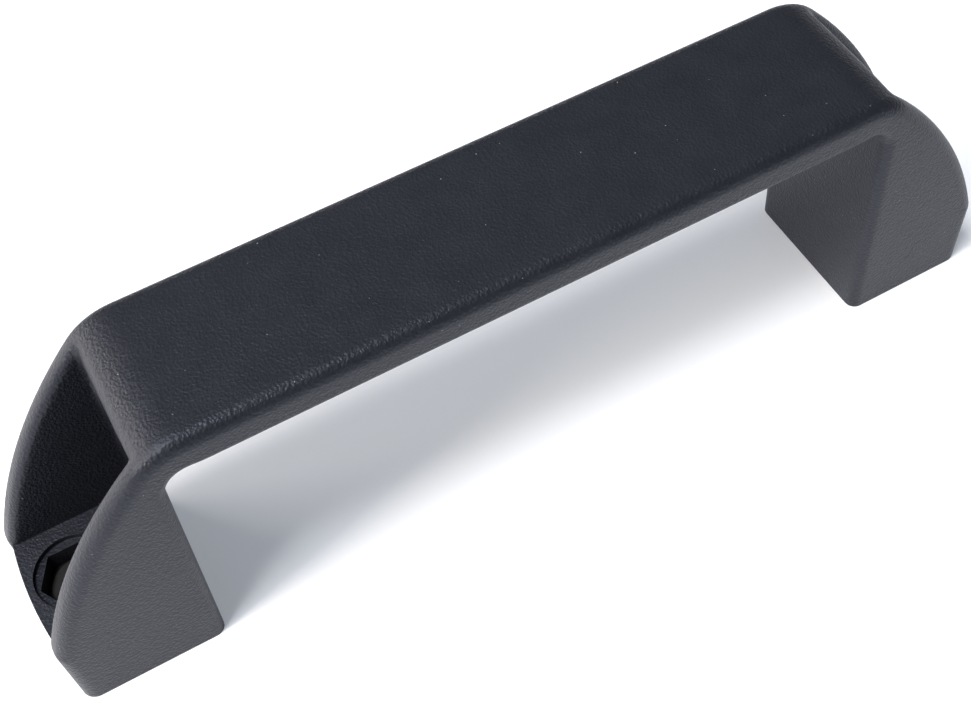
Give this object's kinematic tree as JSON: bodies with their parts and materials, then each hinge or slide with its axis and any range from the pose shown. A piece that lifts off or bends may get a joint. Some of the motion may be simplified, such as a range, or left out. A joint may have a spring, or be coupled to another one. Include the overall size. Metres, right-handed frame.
{
  "type": "bridge pull handle",
  "caption": "Bridge pull handle in grained black plastic, with a flat grip, two feet with open screw pockets, and a hexagon nut seated in each foot.",
  "frame": {"origin": "middle of the mounting plane, halfway between the two screw holes", "axes": "+X along the grip, +Y across it, +Z from the panel up to the grip"},
  "size_m": [0.1404, 0.0232, 0.0438],
  "materials": {
    "handle_plastic": "fine spark-eroded grain, black",
    "nut_steel": "black oxide"
  },
  "bodies": {
    "handle": {"handle": "handle_plastic"},
    "left_nut": {"left_nut": "nut_steel"},
    "right_nut": {"right_nut": "nut_steel"}
  },
  "joints": [
    {"name": "left_nut_lift", "type": "slide", "parent": "handle", "child": "left_nut", "axis": [0, 0, 1], "range_m": [0, 0.045]},
    {"name": "right_nut_lift", "type": "slide", "parent": "handle", "child": "right_nut", "axis": [0, 0, 1], "range_m": [0, 0.045]}
  ]
}
